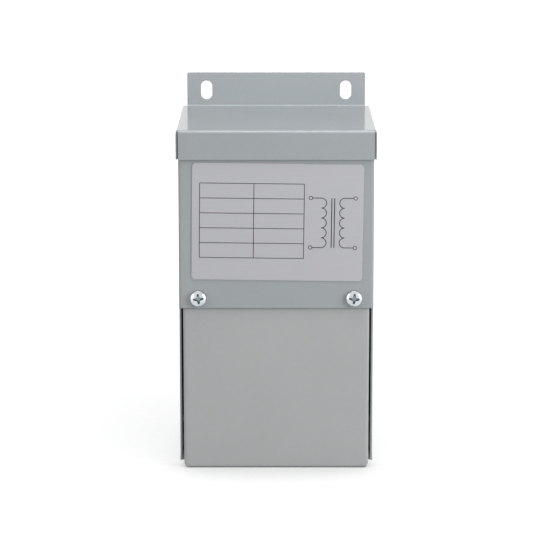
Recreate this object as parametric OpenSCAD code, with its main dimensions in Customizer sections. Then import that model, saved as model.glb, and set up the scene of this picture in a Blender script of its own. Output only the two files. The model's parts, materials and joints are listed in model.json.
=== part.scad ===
// Small encapsulated general purpose transformer in a folded sheet steel enclosure.
// Millimetres, +Z up, the front faces -Y, the origin is the middle of the base.

/* [Enclosure] */
// Width over the cap's side lips
cap_w = 79.8; // [70:0.1:110]
// Depth from the cap's front lip to the wall face
depth = 77.2; // [66:0.1:110]
// Height of the cap's flat top above the base
cap_top = 138.3; // [128:0.1:180]
// Thickness of the sheet steel
sheet = 0.8; // [0.7:0.05:1.2]
// Inside radius of the folds
bend_r = 0.4; // [0.3:0.1:1.6]
// Clearance between sheets that are spot welded or seated together
seat_gap = 0.1; // [0.05:0.05:0.2]

/* [Cap] */
// Height of the front and side lips
lip_h = 11.8; // [9:0.1:13]
// Clearance between the lips and the housing shell
lip_gap = 0.15; // [0.1:0.05:0.5]
// Width of the open corners between the front lip and the side lips
corner_gap = 0.2; // [0.1:0.05:0.4]
// Radius on the free corners of the lips and the flange
free_corner_r = 0.5; // [0.3:0.1:2]

/* [Mounting flange] */
// Distance from each side of the cap to the upright flange
flange_inset = 2.2; // [1.8:0.1:4]
// Height of the flange above the cap's top
flange_h = 14.1; // [13:0.1:20]
// Width of a mounting slot
slot_w = 4.8; // [4.2:0.1:6.5]
// Height of a mounting slot
slot_h = 8.0; // [7:0.1:9]
// Distance from each side of the flange to the middle of its slot
slot_edge = 8.2; // [6:0.1:16]
// Height of the slots' middles above the cap's top
slot_rise = 6.7; // [6.6:0.1:8]

/* [Housing shell] */
// Height of the walls' lower edges above the base
wall_lift = 2.3; // [2:0.1:4]
// Distance from the wiring cover's front face back to the walls' cut edges beside it
wall_setback = 4; // [2:0.5:6]
// Width of the back panel's turned-in flanges
back_flange = 9; // [6:0.5:14]

/* [Wiring cover] */
// Width of the slit between the cover and each side wall
slit = 0.85; // [0.4:0.05:1.2]
// Clearance between the cover and the label panel, and between the cover and the back panel
cover_gap = 0.2; // [0.1:0.05:0.4]
// Radius of the cover's lower corners, seen from the front
cover_corner_r = 2.6; // [2:0.1:4]
// Width of the cover's turned-back flanges
cover_flange = 8; // [5:0.5:12]
// Height by which the cover's full width laps behind the label panel
shoulder_lap = 1.5; // [0.5:0.1:2]
// Height of the tongue that reaches up behind the label panel
tongue_h = 9; // [8:0.5:11]
// Distance from each side of the cover to the tongue
tongue_inset = 2.6; // [2.4:0.1:4]
// Clearance between the cover's pan and the back panel's flanges
pan_gap = 1; // [0.5:0.1:2]

/* [Cover screws] */
// Distance from each side of the housing shell to its cover screw
screw_edge = 7.8; // [7.4:0.1:14]
// Height of the screws above the label panel's lower edge
screw_rise = 4.1; // [4:0.1:4.8]
// Diameter of the pan heads
head_d = 6.7; // [5.6:0.1:7]
// Height of the pan heads at their middle
head_h = 2.2; // [1.8:0.1:2.6]
// Height of the straight rim of the pan heads
head_rim = 1.1; // [0.8:0.1:1.4]
// Diameter of the shanks
shank_d = 3.4; // [2.8:0.1:4]
// Length of the shanks
shank_len = 9; // [6:0.5:12]
// Radial clearance of the screw holes
screw_gap = 0.15; // [0.1:0.05:0.4]
// Width of the cross recess's arms
recess_w = 0.9; // [0.6:0.1:1.2]
// Length of the cross recess, tip to tip
recess_l = 3.8; // [3:0.1:4.4]
// Depth of the cross recess
recess_depth = 1.3; // [0.8:0.1:1.6]

/* [Nameplate] */
// Distance from each side of the housing shell to the nameplate
plate_margin = 4.9; // [4:0.1:14]
// Height of the nameplate
plate_h = 47.0; // [30:0.1:58]
// Thickness of the nameplate
plate_t = 0.3; // [0.2:0.05:0.6]
// Corner radius of the nameplate
plate_r = 1.6; // [0.8:0.1:3]
// Clearance between the cap's front lip and the nameplate, at its middle
plate_head = 1.5; // [1.2:0.1:6]
// Height of the nameplate's lower edge above the label panel's lower edge, at its middle
plate_foot = 11.5; // [9:0.1:16]
// Sideways offset of the nameplate
plate_shift = 0.5; // [-1:0.1:1]
// Angle by which the nameplate sits out of square, in degrees
plate_tilt = 0.7; // [0:0.1:1]

/* [Knockouts] */
// Diameter of the inner slug
slug_d = 22.2; // [18:0.1:24]
// Width of the ring around the slug
ring_band = 3.0; // [2.5:0.1:5]
// Width of the sheared lines
shear_gap = 0.25; // [0.15:0.05:0.4]
// Depth by which each sheared piece is pushed inwards
shear_set = 0.3; // [0.2:0.05:0.4]
// Width of the ties that hold the sheared pieces
tie_w = 2.2; // [1.5:0.1:3]
// Clearance at the outer ends of the ties
tie_gap = 0.05; // [0.02:0.01:0.1]
// Height of the knockouts' middles above the base
knockout_rise = 37; // [30:0.5:45]
// Distance of the side knockouts from the wall face
knockout_back = 36.5; // [28:0.5:42]

/* [Potted core] */
// Height of the potting's lower face above the cover's tongue
core_lift = 4; // [2:0.5:8]

/* [Hidden] */
$fn = 64;
past = 1;

bend_out = bend_r + sheet;
front_y = -depth / 2;
back_y = depth / 2;

lip_w = cap_w - 2 * (sheet + corner_gap);
side_lip_l = depth - sheet - 2 * corner_gap;
side_lip_y = sheet / 2;

flange_w = cap_w - 2 * flange_inset;
slot_spacing = flange_w - 2 * slot_edge;

shell_w = cap_w - 2 * (sheet + lip_gap);
shell_front = front_y + sheet + lip_gap;
shell_top = cap_top - sheet - seat_gap;
shell_in = shell_w / 2 - sheet;

plate_w = shell_w - 2 * plate_margin;
plate_z = cap_top - lip_h - plate_head - plate_h / 2;
panel_bottom = plate_z - plate_h / 2 - plate_foot;

back_w = 2 * (shell_in - seat_gap);

cover_w = 2 * (shell_in - slit);
cover_front = shell_front + sheet + cover_gap;
cover_back = back_y - sheet - cover_gap;
wall_edge = cover_front + wall_setback;
cover_top = panel_bottom + tongue_h;
tongue_w = cover_w - 2 * tongue_inset;

screw_z = panel_bottom + screw_rise;
screw_spacing = shell_w - 2 * screw_edge;
screw_hole_d = shank_d + 2 * screw_gap;
dome_h = head_h - head_rim;
dome_r = (pow(head_d / 2, 2) + pow(dome_h, 2)) / (2 * dome_h);

knockout_y = back_y - knockout_back;
ring_d = slug_d + 2 * ring_band;
knockout_hole_d = ring_d + 2 * shear_gap;

paint = [0.66, 0.68, 0.69];
paint_shade = [0.62, 0.64, 0.65];
plate_grey = [0.74, 0.74, 0.77];
zinc = [0.82, 0.83, 0.85];
resin = [0.12, 0.12, 0.13];

// Quarter of a folded sheet's section, round the origin in the +X +Y quadrant
module fold_section() {
    intersection() {
        difference() {
            circle(bend_out);
            circle(bend_r);
        }
        square(bend_out + past);
    }
}

// Free edge of a folded sheet: a tab that starts on the X axis and has two rounded corners
module tab_outline(w, h) {
    translate([-w / 2, 0]) square([w, h - free_corner_r]);
    translate([free_corner_r - w / 2, 0]) square([w - 2 * free_corner_r, h]);
    for (side = [-1, 1])
        translate([side * (w / 2 - free_corner_r), h - free_corner_r]) circle(free_corner_r);
}

// Rectangle between two corners, with rounded corners
module round_rect(low, high, r) {
    size = high - low;
    translate(low + [r, 0]) square([size.x - 2 * r, size.y]);
    translate(low + [0, r]) square([size.x, size.y - 2 * r]);
    for (x = [low.x + r, high.x - r], y = [low.y + r, high.y - r])
        translate([x, y]) circle(r);
}

// Extrude a section drawn in Y and Z along X, both ways from the middle
module along_x(length) {
    rotate([90, 0, 90]) linear_extrude(length, center = true) children();
}

// Extrude a section drawn in X and Z along Y, both ways from the middle
module along_y(length) {
    rotate([90, 0, 0]) linear_extrude(length, center = true) children();
}

// Upright slot with round ends
module slot_outline() {
    reach = (slot_h - slot_w) / 2;
    translate([-slot_w / 2, -reach]) square([slot_w, 2 * reach]);
    for (end = [-1, 1]) translate([0, end * reach]) circle(d = slot_w);
}

// Cap: one blank with a front lip and two side lips folded down, and a flange folded up
module top_cap() {
    color(paint) {
        translate([0, 0, cap_top - sheet / 2])
            cube([cap_w - 2 * bend_out, depth - 2 * bend_out, sheet], center = true);
        cap_front_lip();
        for (side = [0, 1]) mirror([side, 0, 0]) cap_side_lip();
        mounting_flange();
    }
}

module cap_front_lip() {
    along_x(lip_w)
        translate([front_y + bend_out, cap_top - bend_out])
            mirror([1, 0]) fold_section();
    translate([0, front_y + sheet / 2, cap_top - bend_out])
        along_y(sheet)
            mirror([0, 1]) tab_outline(lip_w, lip_h - bend_out);
}

module cap_side_lip() {
    translate([0, side_lip_y, 0])
        along_y(side_lip_l)
            translate([cap_w / 2 - bend_out, cap_top - bend_out]) fold_section();
    translate([cap_w / 2 - sheet / 2, side_lip_y, cap_top - bend_out])
        along_x(sheet)
            mirror([0, 1]) tab_outline(side_lip_l, lip_h - bend_out);
}

module mounting_flange() {
    along_x(flange_w)
        translate([back_y - bend_out, cap_top + bend_r])
            mirror([0, 1]) fold_section();
    translate([0, back_y - sheet / 2, cap_top])
        along_y(sheet)
            difference() {
                translate([0, bend_r]) tab_outline(flange_w, flange_h - bend_r);
                for (side = [-1, 1])
                    translate([side * slot_spacing / 2, slot_rise]) slot_outline();
            }
}

// Plan of a sheet folded round two upright edges, its panel on the -Y side of the given face
module channel_plan(w, face, reach) {
    translate([bend_out - w / 2, face]) square([w - 2 * bend_out, sheet]);
    for (side = [0, 1]) mirror([side, 0]) {
        translate([w / 2 - bend_out, face + bend_out]) mirror([0, 1]) fold_section();
        translate([w / 2 - sheet, face + bend_out]) square([sheet, reach - bend_out]);
    }
}

// Shell: label panel and both side walls in one sheet, cut away in front of the wiring space
module housing_shell() {
    color(paint)
    difference() {
        translate([0, 0, wall_lift])
            linear_extrude(shell_top - wall_lift)
                channel_plan(shell_w, shell_front, back_y - shell_front);
        translate([-shell_w / 2 - past, shell_front - past, wall_lift - past])
            cube([shell_w + 2 * past, wall_edge - shell_front + past, panel_bottom - wall_lift + past]);
        screw_holes();
        translate([0, knockout_y, knockout_rise])
            rotate([0, 90, 0]) cylinder(d = knockout_hole_d, h = shell_w + 2 * past, center = true);
    }
}

module screw_holes() {
    for (side = [-1, 1])
        translate([side * screw_spacing / 2, cover_front, screw_z])
            rotate([90, 0, 0]) cylinder(d = screw_hole_d, h = 4 * (sheet + cover_gap), center = true);
}

// Back: flat panel between the side walls, with its flanges turned in along them
module back_panel() {
    flange_foot = cover_flange + pan_gap;
    color(paint_shade)
    difference() {
        translate([0, 0, wall_lift])
            linear_extrude(shell_top - wall_lift)
                mirror([0, 1]) channel_plan(back_w, -back_y, back_flange);
        for (side = [0, 1]) mirror([side, 0, 0])
            translate([back_w / 2 - bend_out, back_y - back_flange - past, wall_lift - past])
                cube([bend_out + past, back_flange - sheet + past, flange_foot - wall_lift + past]);
        translate([0, back_y, knockout_rise])
            rotate([90, 0, 0]) cylinder(d = knockout_hole_d, h = 2 * sheet + past, center = true);
    }
}

// Closed form of the cover, set in by the given amount, rounded on every folded edge
module cover_form(inset, height) {
    r = bend_out - inset;
    corner_r = cover_corner_r - inset;
    far_z = height + 2 * cover_corner_r;
    half = cover_w / 2 - inset;
    low_y = cover_front + inset;
    high_y = cover_back - inset;
    intersection() {
        translate([0, 0, inset])
            linear_extrude(height - inset) round_rect([-half, low_y], [half, high_y], r);
        along_y(2 * depth) round_rect([-half, inset], [half, far_z], corner_r);
        along_x(2 * cover_w) round_rect([low_y, inset], [high_y, far_z], r);
    }
}

// Wiring cover: front plate and shallow pan under the wiring space, with a tongue for the screws
module wiring_cover() {
    shoulder = panel_bottom + shoulder_lap;
    color(paint)
    difference() {
        cover_form(0, cover_top);
        cover_form(sheet, cover_top + past);
        translate([-cover_w, cover_front + cover_flange, cover_flange])
            cube([2 * cover_w, depth, cover_top]);
        translate([-cover_w, cover_front + sheet, shoulder])
            cube([2 * cover_w, depth, cover_top]);
        for (side = [0, 1]) mirror([side, 0, 0])
            translate([tongue_w / 2, cover_front - past, shoulder])
                cube([tongue_inset + past, depth, cover_top]);
        screw_holes();
    }
}

module nameplate() {
    color(plate_grey)
    translate([plate_shift, shell_front - plate_t / 2, plate_z])
        rotate([0, plate_tilt, 0])
            along_y(plate_t)
                round_rect([-plate_w / 2, -plate_h / 2], [plate_w / 2, plate_h / 2], plate_r);
}

// Pan head screw with a cross recess, its head's seat at the origin and its shank along +Y
module cover_screw() {
    color(zinc)
    difference() {
        union() {
            rotate([90, 0, 0]) cylinder(d = head_d, h = head_rim);
            intersection() {
                translate([0, dome_r - head_h, 0]) sphere(dome_r);
                rotate([90, 0, 0]) cylinder(d = head_d, h = head_h + past);
            }
            rotate([-90, 0, 0]) cylinder(d = shank_d, h = shank_len);
        }
        for (turn = [0, 90])
            rotate([0, turn, 0])
                translate([-recess_l / 2, -head_h - past, -recess_w / 2])
                    cube([recess_l, recess_depth + past, recess_w]);
    }
}

module left_cover_screw() {
    translate([-screw_spacing / 2, shell_front, screw_z]) cover_screw();
}

module right_cover_screw() {
    translate([screw_spacing / 2, shell_front, screw_z]) cover_screw();
}

// Ring of a knockout in the XY plane, its outer face at z = 0, tied to the sheet at two places
module knockout_ring() {
    color(paint)
    difference() {
        union() {
            translate([0, 0, -sheet - shear_set]) cylinder(d = ring_d, h = sheet);
            knockout_ties(ring_d, knockout_hole_d, shear_set);
        }
        translate([0, 0, -sheet - shear_set - past]) cylinder(d = slug_d + 2 * shear_gap, h = sheet + 2 * past);
    }
}

// Slug of a knockout, pushed in further than its ring and tied to it a quarter turn away
module knockout_slug() {
    color(paint_shade) {
        translate([0, 0, -sheet - 2 * shear_set]) cylinder(d = slug_d, h = sheet);
        rotate([0, 0, 90]) knockout_ties(slug_d, slug_d + 2 * shear_gap, 2 * shear_set);
    }
}

// Two ties that bridge a sheared line, just clear of the round edge that they reach
module knockout_ties(from_d, to_d, set_in) {
    translate([0, 0, -sheet - set_in])
        intersection() {
            difference() {
                cylinder(d = to_d - 2 * tie_gap, h = sheet);
                translate([0, 0, -past]) cylinder(d = from_d - sheet, h = sheet + 2 * past);
            }
            translate([-to_d, -tie_w / 2, 0]) cube([2 * to_d, tie_w, sheet]);
        }
}

// Put a knockout into the right wall
module on_right_wall() {
    translate([shell_w / 2, knockout_y, knockout_rise]) rotate([0, 90, 0]) children();
}

// Put a knockout into the back panel
module on_back_panel() {
    translate([0, back_y, knockout_rise]) rotate([-90, 0, 0]) children();
}

module left_knockout_ring() {
    mirror([1, 0, 0]) on_right_wall() knockout_ring();
}

module left_knockout_slug() {
    mirror([1, 0, 0]) on_right_wall() knockout_slug();
}

module right_knockout_ring() {
    on_right_wall() knockout_ring();
}

module right_knockout_slug() {
    on_right_wall() knockout_slug();
}

module back_knockout_ring() {
    on_back_panel() knockout_ring();
}

module back_knockout_slug() {
    on_back_panel() knockout_slug();
}

// Core and coil cast in resin, filling the housing above the wiring space
module potted_core() {
    low_z = cover_top + core_lift;
    low_y = shell_front + sheet + seat_gap;
    high_y = back_y - sheet - seat_gap;
    half = back_w / 2 - sheet - seat_gap;
    color(resin)
    translate([0, 0, low_z])
        linear_extrude(shell_top - low_z)
            round_rect([-half, low_y], [half, high_y], bend_out);
}

top_cap();
housing_shell();
back_panel();
wiring_cover();
nameplate();
left_cover_screw();
right_cover_screw();
left_knockout_ring();
left_knockout_slug();
right_knockout_ring();
right_knockout_slug();
back_knockout_ring();
back_knockout_slug();
potted_core();
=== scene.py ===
"""Looks of a small encapsulated transformer in a white studio.

Grey enamelled sheet steel, zinc plated screws and a nameplate with a plain ruled form.
"""
import json
import math

import bpy
import numpy as np
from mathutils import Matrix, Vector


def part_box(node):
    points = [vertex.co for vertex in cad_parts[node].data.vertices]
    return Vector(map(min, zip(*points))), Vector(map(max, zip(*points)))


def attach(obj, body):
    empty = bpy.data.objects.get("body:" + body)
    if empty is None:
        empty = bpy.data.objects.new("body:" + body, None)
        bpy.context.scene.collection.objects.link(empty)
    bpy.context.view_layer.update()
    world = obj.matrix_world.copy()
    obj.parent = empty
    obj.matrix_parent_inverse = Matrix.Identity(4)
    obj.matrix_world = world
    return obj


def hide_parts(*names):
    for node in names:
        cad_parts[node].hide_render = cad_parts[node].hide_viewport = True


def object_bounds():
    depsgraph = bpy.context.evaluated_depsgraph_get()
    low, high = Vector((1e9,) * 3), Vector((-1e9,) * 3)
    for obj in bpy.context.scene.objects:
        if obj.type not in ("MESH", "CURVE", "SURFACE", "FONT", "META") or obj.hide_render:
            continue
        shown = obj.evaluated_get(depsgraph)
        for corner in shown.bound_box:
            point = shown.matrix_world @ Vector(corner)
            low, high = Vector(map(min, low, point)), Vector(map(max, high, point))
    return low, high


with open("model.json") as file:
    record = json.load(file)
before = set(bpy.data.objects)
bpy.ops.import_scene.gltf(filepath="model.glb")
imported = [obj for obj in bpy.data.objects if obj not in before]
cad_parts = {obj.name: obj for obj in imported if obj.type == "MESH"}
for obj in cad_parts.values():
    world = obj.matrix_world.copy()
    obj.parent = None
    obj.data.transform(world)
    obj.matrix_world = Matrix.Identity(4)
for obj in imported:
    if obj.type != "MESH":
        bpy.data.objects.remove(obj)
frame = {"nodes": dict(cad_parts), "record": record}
cad_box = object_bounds()

MM = 0.001

# Camera, matched to the photograph's 550 by 550 frame
IMAGE_PX = 550
FOCAL_PX = 2406
SENSOR_MM = 36
CAMERA_DISTANCE = 940 * MM
CAMERA_HEIGHT = 270.7 * MM
CAMERA_SIDE = -0.5 * MM
CAMERA_PITCH = math.radians(11.45)

# Sky, for diffuse light alone
SKY_TINT = (0.97, 0.985, 1)
SKY_STRENGTH = 0.33

# Lamps: places and sizes in metres, powers in watts
LAMP_AIM = (0, 0, 0.075)
KEY_PLACE = (0.7, -0.45, 0.3)
KEY_SIZE = 0.4
KEY_POWER = 5.4
FILL_PLACE = (-0.9, -0.5, 0.3)
FILL_SIZE = 0.5
FILL_POWER = 3.1
BACK_PLACE = (0.0, 1.0, 0.28)
BACK_SIZE = 0.5
BACK_POWER = 7.0
FLANGE_PLACE = (0.0, -0.14, 0.55)
FLANGE_SIZE = 0.25
FLANGE_POWER = 1.27
GLINT_SIZE = 0.3
GLINT_POWER = 5.0

# Floor: a grey that takes shadows, and a glow that rises to white between a near and a far distance
FLOOR_HALF = 6.0
FLOOR_GREY = 0.34
FLOOR_ROUGH = 0.9
FLOOR_GLOW = 0.71
FLOOR_NEAR = 0.16
FLOOR_FAR = 0.5

# Painted contact shadow in the floor's glow: its reach, the openness over which it fades and its
# strength.
# It is full in front of the object and falls off to a small share beside it.
CONTACT_REACH = 36 * MM
CONTACT_OPEN = (0.3, 0.95)
CONTACT_SHADE = 0.64
SIDE_FADE = 12 * MM
SIDE_SHADE = 0.06

# Patch under the object that doesn't glow
PATCH_INSET = 15 * MM
PATCH_FADE = 1.5 * MM

# Card behind the flange that glows grey, seen in reflections alone: a painted reflection on the
# cap's top
CARD_INSET = 3.5 * MM
CARD_GAP = 0.6 * MM
CARD_H = 13.0 * MM
CARD_GLOW_GREY = (0.38, 0.41, 0.42)

# Samples of the occlusion and rounding nodes
SHADER_SAMPLES = 8

# Ranges of a noise that a finish uses: its middle, most of it, and its peaks
NOISE_MIDDLE = (0.35, 0.65)
NOISE_WIDE = (0.3, 0.7)
NOISE_PEAKS = (0.66, 0.74)

# Enamel: linear colours, noises as cycles per metre and detail, and how much of each shows
PAINT_GREY = (0.331, 0.357, 0.369)
PAINT_PALE = (0.343, 0.369, 0.381)
COVER_GREY = (0.403, 0.412, 0.414)
COVER_PALE = (0.415, 0.424, 0.426)
CLOUD = (38, 4)
MOTTLE = (420, 2)
MOTTLE_DARKER = 0.86
MOTTLE_SHARE = 0.12
SPECK = (5200, 1)
SPECK_GREY = (0.25, 0.27, 0.28)
SPECK_SHARE = 0.35
GLOSS = (90, 3)
ENAMEL_ROUGH = (0.09, 0.13)
ENAMEL_SPECULAR = 0.5
PEEL = (620, 2)
PEEL_DEPTH = 0.005 * MM
EDGE_R = 0.5 * MM

# Grime and painted shade along the seams: openness at which it is full, openness at which it
# ends, and its strength. On the cover it is stronger and paints the shadow line under the label
# panel's edge
CREVICE_DARK_REACH = 1.2 * MM
GRIME_AND_SHADE_GREY = (0.16, 0.165, 0.168)
SHELL_GRIME_AND_SHADE = (0.05, 0.25, 0.3)
COVER_GRIME_AND_SHADE = (0.35, 0.65, 0.85)
# Painted shade in deep gaps and slits: its reach, the openness at which it is full and at which it
# ends, and its near black
SEAM_SHADE_REACH = 6 * MM
SEAM_SHADE_OPEN = (0.03, 0.12)
SEAM_SHADE_DARK = (0.012, 0.012, 0.012)

# Nameplate and print finishes
PLATE_GREY = (0.468, 0.468, 0.491)
PLATE_PALE = (0.482, 0.482, 0.505)
PLATE_ROUGH = (0.36, 0.46)
GRAIN = (900, 3)
GRAIN_STRETCH = (0.05, 1, 1)
GRAIN_DEPTH = 0.004 * MM
PRINT_DARK = (0.022, 0.022, 0.026)
PRINT_PALE = (0.05, 0.05, 0.055)
PRINT_DENSITY = (3000, 2)
PRINT_ROUGH = 0.5

# Zinc finish: painted shade on the cross recess's sides and tips, a painted reflection on its
# deep floor, and darker corners
ZINC_PALE = (0.68, 0.70, 0.71)
ZINC_BLUE = (0.55, 0.58, 0.62)
ZINC_PATCH = (700, 3)
ZINC_GLOSS = (1600, 2)
ZINC_ROUGH = (0.2, 0.32)
ZINC_GRAIN = (2600, 2)
ZINC_DEPTH = 0.004 * MM
ZINC_CORNER_DARK = (0.2, 0.7, 0.5)
ZINC_CORNER_GREY = (0.10, 0.11, 0.13)
RECESS_SHADE_DARK = (0.07, 0.10, 0.125)
RECESS_SHADE_SPAN = (0.05, 0.6)
RECESS_SHADE_SHARE = 0.92
RECESS_SHEEN_PALE = (0.25, 0.33, 0.35)
RECESS_SHEEN_SPAN = (0.86, 1)
RECESS_SHEEN_SHARE = 0.8

# Resin finish
RESIN_DARK = (0.016, 0.016, 0.018)
RESIN_PALE = (0.03, 0.03, 0.032)
RESIN_CLOUD = (300, 4)
RESIN_SKIN = (900, 3)
RESIN_SKIN_DEPTH = 0.08 * MM
RESIN_ROUGH = 0.55

# Cover screw heads: a dome on a low rim. The powers flatten the dome, and its first ring lies a
# small share of the way out.
HEAD_R = 3.35 * MM
HEAD_H = 2.2 * MM
DOME_FOOT = 0.35 * MM
DOME_SINE_POWER = 0.9
DOME_COSINE_POWER = 0.75
DOME_START = 0.02
DOME_STEPS = 40
RIM_FOOT = 0.2 * MM
RIM_CHAMFER = 0.015 * HEAD_R

# Their shanks: the point starts at a share of the length and loses a share of the radius
SHANK_R = 1.7 * MM
SHANK_LEN = 9.0 * MM
SHANK_STEPS = 120
NECK_R = 1.02 * SHANK_R
POINT_START = 0.9
POINT_TAPER = 0.5
THREAD_DEPTH = 0.3 * MM
THREAD_PITCH = 0.8 * MM

# Their cross recesses: an arm loses a share of its width on the way to its tip, its sides slope
# over a small width, and the head's rim stays whole up to a lowest height
RECESS_REACH = 2.1 * MM
RECESS_HALF_W = 0.8 * MM
RECESS_TAPER = 0.6
RECESS_SIDE = 0.16 * MM
RECESS_DEPTH = 1.45 * MM
RECESS_LOWEST = 0.4 * MM

# Points round a screw, and how far each head is turned
SCREW_STEPS = 96
SCREW_TURNS = {"left_cover_screw": math.radians(-7), "right_cover_screw": math.radians(5)}

# Nameplate print
PLATE_TILT = math.radians(0.7)
PRINT_H = 0.03 * MM
RULE_W = 0.28 * MM
COIL_W = 1.2 * RULE_W
BAR_W = 1.4 * RULE_W
FORM_ROWS = 6
FORM_TOP = 15.5 * MM
FORM_PITCH = 6.0 * MM
FORM_SPLITS = (-31.0 * MM, -9.5 * MM, 10.5 * MM)
COIL_LOOPS = 5
COIL_LOOP_R = 2.0 * MM
COIL_HALF_H = COIL_LOOPS * COIL_LOOP_R
COIL_GAP = 2.6 * MM
COIL_MIDDLE = 22.0 * MM
CORE_BAR_GAP = 0.55 * MM
LEAD_L = 3.6 * MM
TERMINAL_R = 0.7 * MM
LOOP_STEPS = 14
RING_STEPS = 20


def mesh_object(name, points, faces, smooth=True):
    """An object at the origin from an array of points and an array or list of faces."""
    mesh = bpy.data.meshes.new(name)
    corners = [list(map(int, face)) for face in faces]
    mesh.from_pydata(np.asarray(points).reshape(-1, 3).tolist(), [], corners)
    mesh.update()
    mesh.polygons.foreach_set("use_smooth", np.full(len(mesh.polygons), smooth))
    piece = bpy.data.objects.new(name, mesh)
    bpy.context.collection.objects.link(piece)
    return piece


def grid_faces(rows, cols, wrap_rows=False, wrap_cols=False, start=0):
    """Quads of a grid of points stored row by row.
    Each joins a point, its two neighbours and the point across."""
    index = np.arange(rows * cols).reshape(rows, cols) + start
    if wrap_rows:
        index = np.vstack([index, index[:1]])
    if wrap_cols:
        index = np.hstack([index, index[:, :1]])
    corners = [index[:-1, :-1], index[:-1, 1:], index[1:, 1:], index[1:, :-1]]
    return np.stack(corners, axis=-1).reshape(-1, 4)


def fan_faces(ring, pole):
    """Triangles that join a closed ring of indices to one pole."""
    return np.stack([ring, np.roll(ring, -1), np.full(len(ring), pole)], axis=-1)


def bar_along(path, width, high, start, closed=False):
    """A flat bar: a rectangle width wide and high tall, carried along a path in the plane.
    A station's corners are the path's point plus or minus half a width along its normal.
    Returns points (u, v, height) and faces that count from start."""
    path = np.asarray(path, float)
    if closed:
        along = np.roll(path, -1, 0) - np.roll(path, 1, 0)
    else:
        along = np.gradient(path, axis=0)
    along /= np.linalg.norm(along, axis=1, keepdims=True)
    side = np.stack([-along[:, 1], along[:, 0]], axis=1) * width / 2
    left, right = path + side, path - side
    foot = np.zeros((len(path), 1))
    top = foot + high
    points = np.stack([np.hstack([left, foot]), np.hstack([left, top]),
                       np.hstack([right, top]), np.hstack([right, foot])], axis=1)
    faces = grid_faces(len(path), 4, wrap_rows=closed, wrap_cols=True, start=start).tolist()
    if not closed:
        last = start + 4 * (len(path) - 1)
        faces.append([start + 3, start + 2, start + 1, start])
        faces.append([last, last + 1, last + 2, last + 3])
    return points.reshape(-1, 3), faces


def screw_profile():
    """Radius and height along a pan head screw, from the top of its dome to its tip.
    The dome is a quarter of a superellipse: its radius goes with a power of the sine and its height
    with a power of the cosine, so it is flat in the middle and round at the rim. The shank is
    straight and tapers over its last stretch."""
    t = np.linspace(DOME_START, 1, DOME_STEPS) * math.pi / 2
    dome_r = HEAD_R * np.sin(t) ** DOME_SINE_POWER
    dome_h = DOME_FOOT + (HEAD_H - DOME_FOOT) * np.cos(t) ** DOME_COSINE_POWER
    rim_r = [HEAD_R, HEAD_R - RIM_CHAMFER, NECK_R]
    rim_h = [RIM_FOOT, 0, 0]
    down = np.linspace(0, 1, SHANK_STEPS)
    point = np.clip((down - POINT_START) / (1 - POINT_START), 0, 1)
    shank_r = SHANK_R * (1 - POINT_TAPER * point)
    radius = np.concatenate([dome_r, rim_r, shank_r])
    height = np.concatenate([dome_h, rim_h, -SHANK_LEN * down])
    return radius, height


def recess_drop(across, along):
    """Depth of a cross recess at a point of the head. Each arm is a groove that narrows to its tip,
    with steep sides. Its floor's depth is the root of one less the cube of the way to the tip.
    The deeper of the two arms counts."""
    def arm(u, v):
        way = np.abs(u) / RECESS_REACH
        half_w = RECESS_HALF_W * (1 - RECESS_TAPER * way)
        side = np.clip((half_w - np.abs(v)) / RECESS_SIDE, 0, 1)
        return RECESS_DEPTH * side * np.clip(1 - way ** 3, 0, 1) ** 0.5
    return np.maximum(arm(across, along), arm(along, across))


def cover_screw(node):
    """Pan head screw: the profile turned about the screw's axis, with the cross recess pressed into
    its head. Round its shank runs a helical thread: the radius follows a cosine of the helix's
    phase. The attribute recess holds the share of the recess's depth."""
    low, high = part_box(node)
    middle = (np.array(low) + np.array(high)) / 2
    seat_y = high[1] - SHANK_LEN
    radius, height = screw_profile()
    around = np.linspace(0, 2 * math.pi, SCREW_STEPS, endpoint=False)
    r, turn = np.meshgrid(radius, around, indexing="ij")
    h = np.repeat(height[:, None], len(around), axis=1)
    phase = 2 * math.pi * h / THREAD_PITCH - turn
    r = r + np.where(h < 0, THREAD_DEPTH / 2 * (np.cos(phase) - 1), 0)
    across = r * np.cos(turn + SCREW_TURNS[node])
    along = r * np.sin(turn + SCREW_TURNS[node])
    drop = np.where(h > RECESS_LOWEST, recess_drop(across, along), 0)
    rings = np.stack([middle[0] + r * np.cos(turn),
                      seat_y - h + drop,
                      middle[2] + r * np.sin(turn)], axis=-1)
    top = np.array([middle[0], seat_y - (HEAD_H - RECESS_DEPTH), middle[2]])
    tip = np.array([middle[0], seat_y + SHANK_LEN, middle[2]])
    rows, cols = r.shape
    first = np.arange(cols)
    faces = grid_faces(rows, cols, wrap_cols=True).tolist()
    faces += fan_faces(first[::-1], rows * cols).tolist()
    faces += fan_faces(first + (rows - 1) * cols, rows * cols + 1).tolist()
    screw = mesh_object(node + "_finish", np.vstack([rings.reshape(-1, 3), top, tip]), faces)
    share = screw.data.attributes.new("recess", "FLOAT", "POINT")
    share.data.foreach_set("value", np.concatenate([drop.ravel() / RECESS_DEPTH, [1, 0]]))
    return screw


def form_paths():
    """Rules of a blank form: level lines at one pitch, and an upright line at each split."""
    levels = FORM_TOP - FORM_PITCH * np.arange(FORM_ROWS)
    rows = [[(FORM_SPLITS[0], level), (FORM_SPLITS[-1], level)] for level in levels]
    splits = [[(split, levels[-1]), (split, FORM_TOP)] for split in FORM_SPLITS]
    return [(path, RULE_W, False) for path in rows + splits]


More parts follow.
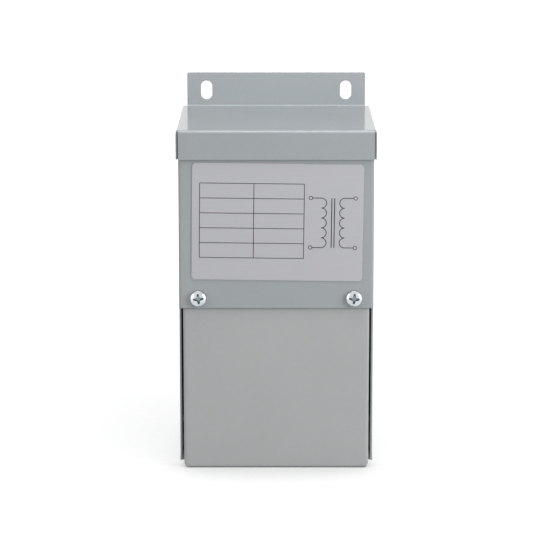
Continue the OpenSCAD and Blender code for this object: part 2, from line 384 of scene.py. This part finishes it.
def winding_paths(side):
    """One winding and the core bar beside it: half circles one above another, a lead at each end,
    and a ring at each lead's tip."""
    loop_x = COIL_MIDDLE + side * (COIL_GAP + COIL_LOOP_R)
    turn = np.linspace(-math.pi / 2, math.pi / 2, LOOP_STEPS)
    ring = np.linspace(0, 2 * math.pi, RING_STEPS, endpoint=False)
    loops = []
    for k in range(COIL_LOOPS):
        level = -COIL_HALF_H + (2 * k + 1) * COIL_LOOP_R
        loops.append(np.stack([loop_x - side * COIL_LOOP_R * np.cos(turn),
                               level + COIL_LOOP_R * np.sin(turn)], axis=1))
    bar_x = COIL_MIDDLE + side * CORE_BAR_GAP
    paths = [(np.vstack(loops), COIL_W, False),
             ([(bar_x, -COIL_HALF_H), (bar_x, COIL_HALF_H)], BAR_W, False)]
    for level in (-COIL_HALF_H, COIL_HALF_H):
        tip_x = loop_x + side * LEAD_L
        terminal = np.stack([tip_x + side * TERMINAL_R + TERMINAL_R * np.cos(ring),
                             level + TERMINAL_R * np.sin(ring)], axis=1)
        paths += [([(loop_x, level), (tip_x, level)], COIL_W, False), (terminal, RULE_W, True)]
    return paths


def nameplate_print():
    """Thin dark print on the nameplate: a blank ruled form and a plain winding symbol.
    Each line is a flat bar along its path. The flat pattern is turned by the plate's tilt about the
    plate's middle and stands on its face."""
    low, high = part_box("nameplate")
    middle = (np.array(low) + np.array(high)) / 2
    points, faces, count = [], [], 0
    for path, width, closed in form_paths() + winding_paths(-1) + winding_paths(1):
        more_points, more_faces = bar_along(path, width, PRINT_H, count, closed)
        points.append(more_points)
        faces += more_faces
        count += len(more_points)
    flat = np.vstack(points)
    c, s = math.cos(PLATE_TILT), math.sin(PLATE_TILT)
    placed = np.stack([middle[0] + c * flat[:, 0] + s * flat[:, 1],
                       low[1] - flat[:, 2],
                       middle[2] - s * flat[:, 0] + c * flat[:, 1]], axis=1)
    return mesh_object("nameplate_print", placed, faces, smooth=False)


class Finish:
    """A node material under construction, with short calls for the nodes that every finish uses."""

    def __init__(self, name):
        self.material = bpy.data.materials.new(name)
        self.material.use_nodes = True
        self.nodes = self.material.node_tree.nodes
        self.links = self.material.node_tree.links
        self.shader = self.nodes["Principled BSDF"]
        self.place = self.nodes.new("ShaderNodeTexCoord").outputs["Object"]

    def noise(self, scale, detail, stretch=None):
        """Noise on Object coordinates, scale in cycles per metre, stretched if asked."""
        node = self.nodes.new("ShaderNodeTexNoise")
        node.inputs["Scale"].default_value = scale
        node.inputs["Detail"].default_value = detail
        source = self.place
        if stretch:
            mapping = self.nodes.new("ShaderNodeMapping")
            mapping.inputs["Scale"].default_value = stretch
            self.links.new(source, mapping.inputs["Vector"])
            source = mapping.outputs["Vector"]
        self.links.new(source, node.inputs["Vector"])
        return node.outputs["Fac"]

    def ramp(self, value, low, high, first, last):
        """A value carried linearly from low..high to first..last, and held at both ends."""
        node = self.nodes.new("ShaderNodeMapRange")
        names = ("From Min", "From Max", "To Min", "To Max")
        for key, number in zip(names, (low, high, first, last)):
            node.inputs[key].default_value = number
        self.links.new(value, node.inputs["Value"])
        return node.outputs["Result"]

    def blend(self, factor, first, last):
        """Two colours, or colour outputs, mixed by a factor.
        Of the mix node's sockets, inputs 6 and 7 and output 2 are those for colours."""
        node = self.nodes.new("ShaderNodeMix")
        node.data_type = "RGBA"
        self.links.new(factor, node.inputs["Factor"])
        for socket, colour in ((node.inputs[6], first), (node.inputs[7], last)):
            if isinstance(colour, tuple):
                socket.default_value = (*colour, 1)
            else:
                self.links.new(colour, socket)
        return node.outputs[2]

    def join(self, operation, first, last):
        """Two values joined by an operation of arithmetic."""
        node = self.nodes.new("ShaderNodeMath")
        node.operation = operation
        self.links.new(first, node.inputs[0])
        self.links.new(last, node.inputs[1])
        return node.outputs[0]

    def axes(self):
        """The three Object coordinates as separate values."""
        split = self.nodes.new("ShaderNodeSeparateXYZ")
        self.links.new(self.place, split.inputs[0])
        return split.outputs

    def outside(self, low, high, fade):
        """Nothing inside a plan box and one outside it.
        It is the largest of four ramps, one over each of the box's sides."""
        past = None
        for axis in (0, 1):
            place = self.axes()[axis]
            for edge, inward in ((low[axis], fade), (high[axis], -fade)):
                side = self.ramp(place, edge, edge + inward, 1, 0)
                past = self.join("MAXIMUM", past, side) if past else side
        return past

    def crevice(self, reach):
        """Ambient occlusion within reach: 1 in the open, towards 0 in folds and seams."""
        node = self.nodes.new("ShaderNodeAmbientOcclusion")
        node.inputs["Distance"].default_value = reach
        node.samples = SHADER_SAMPLES
        return node.outputs["AO"]

    def round_edges(self, radius):
        """Normals that turn smoothly over edges and the facets of a fold, within a radius."""
        node = self.nodes.new("ShaderNodeBevel")
        node.samples = SHADER_SAMPLES
        node.inputs["Radius"].default_value = radius
        self.links.new(node.outputs["Normal"], self.shader.inputs["Normal"])

    def bump(self, height, depth):
        """Bump of the shader's normal by a height, depth in metres."""
        node = self.nodes.new("ShaderNodeBump")
        node.inputs["Strength"].default_value = 1
        node.inputs["Distance"].default_value = depth
        self.links.new(height, node.inputs["Height"])
        before = self.shader.inputs["Normal"].links
        if before:
            self.links.new(before[0].from_socket, node.inputs["Normal"])
        self.links.new(node.outputs["Normal"], self.shader.inputs["Normal"])

    def feed(self, **sockets):
        """Outputs or constants for the shader's own sockets, by socket name with _ for a space."""
        for key, value in sockets.items():
            socket = self.shader.inputs[key.replace("_", " ")]
            if isinstance(value, bpy.types.NodeSocket):
                self.links.new(value, socket)
            else:
                socket.default_value = value
        return self.material


def enamel_finish(name, grey, pale, crevice_darkening):
    """Light grey baked enamel: a faint cloudiness, mottle and specks in its colour, orange peel,
    grime and painted shade along the seams, painted shade that turns deep gaps near black, and a
    smooth gloss elsewhere."""
    finish = Finish(name)
    cloud = finish.ramp(finish.noise(*CLOUD), *NOISE_MIDDLE, 0, 1)
    colour = finish.blend(cloud, grey, pale)
    mottle = finish.ramp(finish.noise(*MOTTLE), *NOISE_WIDE, 0, MOTTLE_SHARE)
    colour = finish.blend(mottle, colour, tuple(MOTTLE_DARKER * c for c in grey))
    speck = finish.ramp(finish.noise(*SPECK), *NOISE_PEAKS, 0, SPECK_SHARE)
    colour = finish.blend(speck, colour, SPECK_GREY)
    # Grime and painted shade: darker where the seams close in
    grime_and_shade = finish.ramp(finish.crevice(CREVICE_DARK_REACH), *crevice_darkening, 0)
    colour = finish.blend(grime_and_shade, colour, GRIME_AND_SHADE_GREY)
    rough = finish.ramp(finish.noise(*GLOSS), *NOISE_WIDE, *ENAMEL_ROUGH)
    # Painted shade: deep gaps and slits turn near black
    seam_shade = finish.ramp(finish.crevice(SEAM_SHADE_REACH), *SEAM_SHADE_OPEN, 1, 0)
    colour = finish.blend(seam_shade, colour, SEAM_SHADE_DARK)
    rough = finish.join("ADD", rough, seam_shade)
    finish.round_edges(EDGE_R)
    finish.bump(finish.noise(*PEEL), PEEL_DEPTH)
    return finish.feed(Base_Color=colour, Roughness=rough, Specular_IOR_Level=ENAMEL_SPECULAR)


def nameplate_finish():
    """Satin printed plate: pale lavender grey with a fine brushed grain along its width."""
    finish = Finish("plate_satin")
    grain = finish.noise(*GRAIN, stretch=GRAIN_STRETCH)
    colour = finish.blend(finish.ramp(grain, *NOISE_WIDE, 0, 1), PLATE_GREY, PLATE_PALE)
    rough = finish.ramp(grain, *NOISE_WIDE, *PLATE_ROUGH)
    finish.bump(grain, GRAIN_DEPTH)
    return finish.feed(Base_Color=colour, Roughness=rough)


def print_finish():
    """Dark screen print, a little uneven in its density."""
    finish = Finish("dark_print")
    colour = finish.blend(finish.noise(*PRINT_DENSITY), PRINT_DARK, PRINT_PALE)
    return finish.feed(Base_Color=colour, Roughness=PRINT_ROUGH)


def zinc_finish():
    """Bright zinc plate: bluish white metal with small changes of shade and gloss, darker in its
    corners, and a cross recess with painted shade on its sides and a painted reflection on its
    floor."""
    finish = Finish("bright_zinc")
    patch = finish.ramp(finish.noise(*ZINC_PATCH), *NOISE_MIDDLE, 0, 1)
    colour = finish.blend(patch, ZINC_PALE, ZINC_BLUE)
    # Darker in the corners of the screw
    crevice_darkening = finish.ramp(finish.crevice(CREVICE_DARK_REACH), *ZINC_CORNER_DARK, 0)
    colour = finish.blend(crevice_darkening, colour, ZINC_CORNER_GREY)
    recess = finish.nodes.new("ShaderNodeAttribute")
    recess.attribute_name = "recess"
    # Painted shade on the recess's sides and tips
    sides = finish.ramp(recess.outputs["Fac"], *RECESS_SHADE_SPAN, 0, RECESS_SHADE_SHARE)
    colour = finish.blend(sides, colour, RECESS_SHADE_DARK)
    # Painted reflection: the recess's deep floor is paler
    deep = finish.ramp(recess.outputs["Fac"], *RECESS_SHEEN_SPAN, 0, RECESS_SHEEN_SHARE)
    colour = finish.blend(deep, colour, RECESS_SHEEN_PALE)
    rough = finish.ramp(finish.noise(*ZINC_GLOSS), *NOISE_WIDE, *ZINC_ROUGH)
    finish.bump(finish.noise(*ZINC_GRAIN), ZINC_DEPTH)
    return finish.feed(Base_Color=colour, Roughness=rough, Metallic=1.0)


def resin_finish():
    """Black casting resin with a rough cast skin."""
    finish = Finish("cast_resin")
    colour = finish.blend(finish.noise(*RESIN_CLOUD), RESIN_DARK, RESIN_PALE)
    finish.bump(finish.noise(*RESIN_SKIN), RESIN_SKIN_DEPTH)
    return finish.feed(Base_Color=colour, Roughness=RESIN_ROUGH)


def dress(piece, material):
    """Give a piece one material in place of those that it has."""
    piece.data.materials.clear()
    piece.data.materials.append(material)


def seen_directly(nodes, links):
    """One for camera, gloss and glass rays, and nothing for diffuse light."""
    path = nodes.new("ShaderNodeLightPath")
    seen = path.outputs["Is Camera Ray"]
    for ray in ("Is Glossy Ray", "Is Transmission Ray"):
        either = nodes.new("ShaderNodeMath")
        either.operation = "MAXIMUM"
        links.new(seen, either.inputs[0])
        links.new(path.outputs[ray], either.inputs[1])
        seen = either.outputs[0]
    return seen


def surroundings():
    """White surroundings for camera, gloss and glass, and a grey sky for diffuse light."""
    scene = bpy.context.scene
    scene.view_settings.view_transform = "Standard"
    world = bpy.data.worlds.new("studio")
    scene.world = world
    world.use_nodes = True
    nodes, links = world.node_tree.nodes, world.node_tree.links
    nodes.clear()
    seen = seen_directly(nodes, links)
    white = nodes.new("ShaderNodeBackground")
    white.inputs["Color"].default_value = (1, 1, 1, 1)
    sky = nodes.new("ShaderNodeBackground")
    sky.inputs["Color"].default_value = (*SKY_TINT, 1)
    sky.inputs["Strength"].default_value = SKY_STRENGTH
    mix = nodes.new("ShaderNodeMixShader")
    links.new(seen, mix.inputs[0])
    links.new(sky.outputs[0], mix.inputs[1])
    links.new(white.outputs[0], mix.inputs[2])
    links.new(mix.outputs[0], nodes.new("ShaderNodeOutputWorld").inputs[0])


def soft_lamp(name, place, size, power, glints=False):
    """A square area lamp that looks at the object's middle, and shows in its gloss if asked.
    It is turned up or down by its aim's slope, and sideways by its aim's direction in plan."""
    lamp = bpy.data.lights.new(name, "AREA")
    lamp.size = size
    lamp.energy = power
    holder = bpy.data.objects.new(name, lamp)
    bpy.context.collection.objects.link(holder)
    holder.location = place
    holder.visible_glossy = glints
    x, y, z = np.array(LAMP_AIM) - np.array(place)
    slope = math.atan2(z, math.hypot(x, y))
    holder.rotation_euler = (math.pi / 2 + slope, 0, math.atan2(-x, y))
    return holder


def link_lamp(lamp, pieces, state):
    """Let a lamp light some pieces alone (INCLUDE), or every piece but those (EXCLUDE)."""
    group = bpy.data.collections.new(lamp.name + "_pieces")
    for piece in pieces:
        group.objects.link(piece)
    for entry in group.collection_objects:
        entry.light_linking.link_state = state
    lamp.light_linking.receiver_collection = group


def floor():
    """Wide pale floor that shows white to the camera and keeps the object's shadow from the lamps.
    Its glow is the open floor's, less a painted contact shadow, and nothing under the object."""
    half = FLOOR_HALF
    corners = [(-half, -half, 0), (half, -half, 0), (half, half, 0), (-half, half, 0)]
    sheet = mesh_object("floor", corners, [(0, 1, 2, 3)], smooth=False)
    finish = Finish("floor_white")
    finish.feed(Base_Color=(FLOOR_GREY, FLOOR_GREY, FLOOR_GREY, 1), Roughness=FLOOR_ROUGH,
                Specular_IOR_Level=0.0)
    far = finish.nodes.new("ShaderNodeVectorMath")
    far.operation = "LENGTH"
    finish.links.new(finish.place, far.inputs[0])
    open_floor = finish.ramp(far.outputs["Value"], FLOOR_NEAR, FLOOR_FAR, FLOOR_GLOW, 1)
    low, high = cad_box
    # Painted contact shadow: the glow dims where the floor is closed in, most in front
    contact = finish.ramp(finish.crevice(CONTACT_REACH), *CONTACT_OPEN, CONTACT_SHADE, 0)
    beside = finish.ramp(finish.axes()[1], low[1], low[1] + SIDE_FADE, 1, SIDE_SHADE)
    contact = finish.join("MULTIPLY", contact, beside)
    glow = finish.join("MULTIPLY", open_floor, finish.ramp(contact, 0, 1, 1, 0))
    glow = finish.join("MULTIPLY", glow, seen_directly(finish.nodes, finish.links))
    patch = finish.outside((low[0], low[1] + PATCH_INSET), high, PATCH_FADE)
    glow = finish.join("MULTIPLY", glow, patch)
    finish.feed(Emission_Color=(1, 1, 1, 1), Emission_Strength=glow)
    dress(sheet, finish.material)


def flange_card():
    """A small grey card close behind the flange that glows, seen from its front in reflections
    alone:
    a painted reflection. It keeps light through the slots off the glossy cap, as in the photograph.
    Its corners lie inside the flange's sides and go up to its top."""
    side_x, back_y, top_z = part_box("top_cap")[1]
    half_w, face, foot = side_x - CARD_INSET, back_y + CARD_GAP, top_z - CARD_H
    corners = [(-half_w, face, foot), (half_w, face, foot),
               (half_w, face, top_z), (-half_w, face, top_z)]
    card = mesh_object("flange_card", corners, [(0, 1, 2, 3)], smooth=False)
    material = bpy.data.materials.new("card_glow")
    material.use_nodes = True
    nodes, links = material.node_tree.nodes, material.node_tree.links
    nodes.clear()
    back_side = nodes.new("ShaderNodeNewGeometry").outputs["Backfacing"]
    # Painted reflection: the card's front glows grey
    front = nodes.new("ShaderNodeEmission")
    front.inputs["Color"].default_value = (*CARD_GLOW_GREY, 1)
    mix = nodes.new("ShaderNodeMixShader")
    links.new(back_side, mix.inputs[0])
    links.new(front.outputs[0], mix.inputs[1])
    links.new(nodes.new("ShaderNodeBsdfTransparent").outputs[0], mix.inputs[2])
    links.new(mix.outputs[0], nodes.new("ShaderNodeOutputMaterial").inputs["Surface"])
    dress(card, material)
    card.visible_camera = False
    card.visible_diffuse = False
    card.visible_shadow = False
    card.visible_transmission = False


def camera():
    """Camera at the photograph's angle: square to the front, pitched down, near the middle line."""
    lens = bpy.data.cameras.new("camera")
    lens.sensor_width = SENSOR_MM
    lens.lens = FOCAL_PX / IMAGE_PX * SENSOR_MM
    holder = bpy.data.objects.new("camera", lens)
    bpy.context.collection.objects.link(holder)
    lip_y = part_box("top_cap")[0][1]
    holder.location = (CAMERA_SIDE, lip_y - CAMERA_DISTANCE, CAMERA_HEIGHT)
    holder.rotation_euler = (math.pi / 2 - CAMERA_PITCH, 0, 0)
    bpy.context.scene.camera = holder


# Studio
camera()
surroundings()
soft_lamp("key_lamp", KEY_PLACE, KEY_SIZE, KEY_POWER)
soft_lamp("fill_lamp", FILL_PLACE, FILL_SIZE, FILL_POWER)
soft_lamp("back_lamp", BACK_PLACE, BACK_SIZE, BACK_POWER)
flange_lamp = soft_lamp("flange_lamp", FLANGE_PLACE, FLANGE_SIZE, FLANGE_POWER, glints=True)
floor()
flange_card()

# Finishes of the solids
finishes = {
    "enclosure_paint": enamel_finish("grey_enamel", PAINT_GREY, PAINT_PALE, SHELL_GRIME_AND_SHADE),
    "zinc_screw": zinc_finish(),
    "plain_nameplate": nameplate_finish(),
    "potting_resin": resin_finish(),
}
for subpart in frame["record"]["subparts"]:
    dress(frame["nodes"][subpart["node"]], finishes[subpart["material_slot"]])
cover_enamel = enamel_finish("cover_enamel", COVER_GREY, COVER_PALE, COVER_GRIME_AND_SHADE)
dress(frame["nodes"]["wiring_cover"], cover_enamel)

# Cover screws, with lamps that glint at both sides of their heads alone
screws = []
for node in SCREW_TURNS:
    screw = cover_screw(node)
    screws.append(screw)
    dress(screw, finishes["zinc_screw"])
    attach(screw, "root")
    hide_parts(node)

for name, place in (("right_glint", KEY_PLACE), ("left_glint", FILL_PLACE)):
    link_lamp(soft_lamp(name, place, GLINT_SIZE, GLINT_POWER, glints=True), screws, "INCLUDE")
link_lamp(flange_lamp, screws, "EXCLUDE")

# Nameplate print
ink = nameplate_print()
dress(ink, print_finish())
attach(ink, "root")
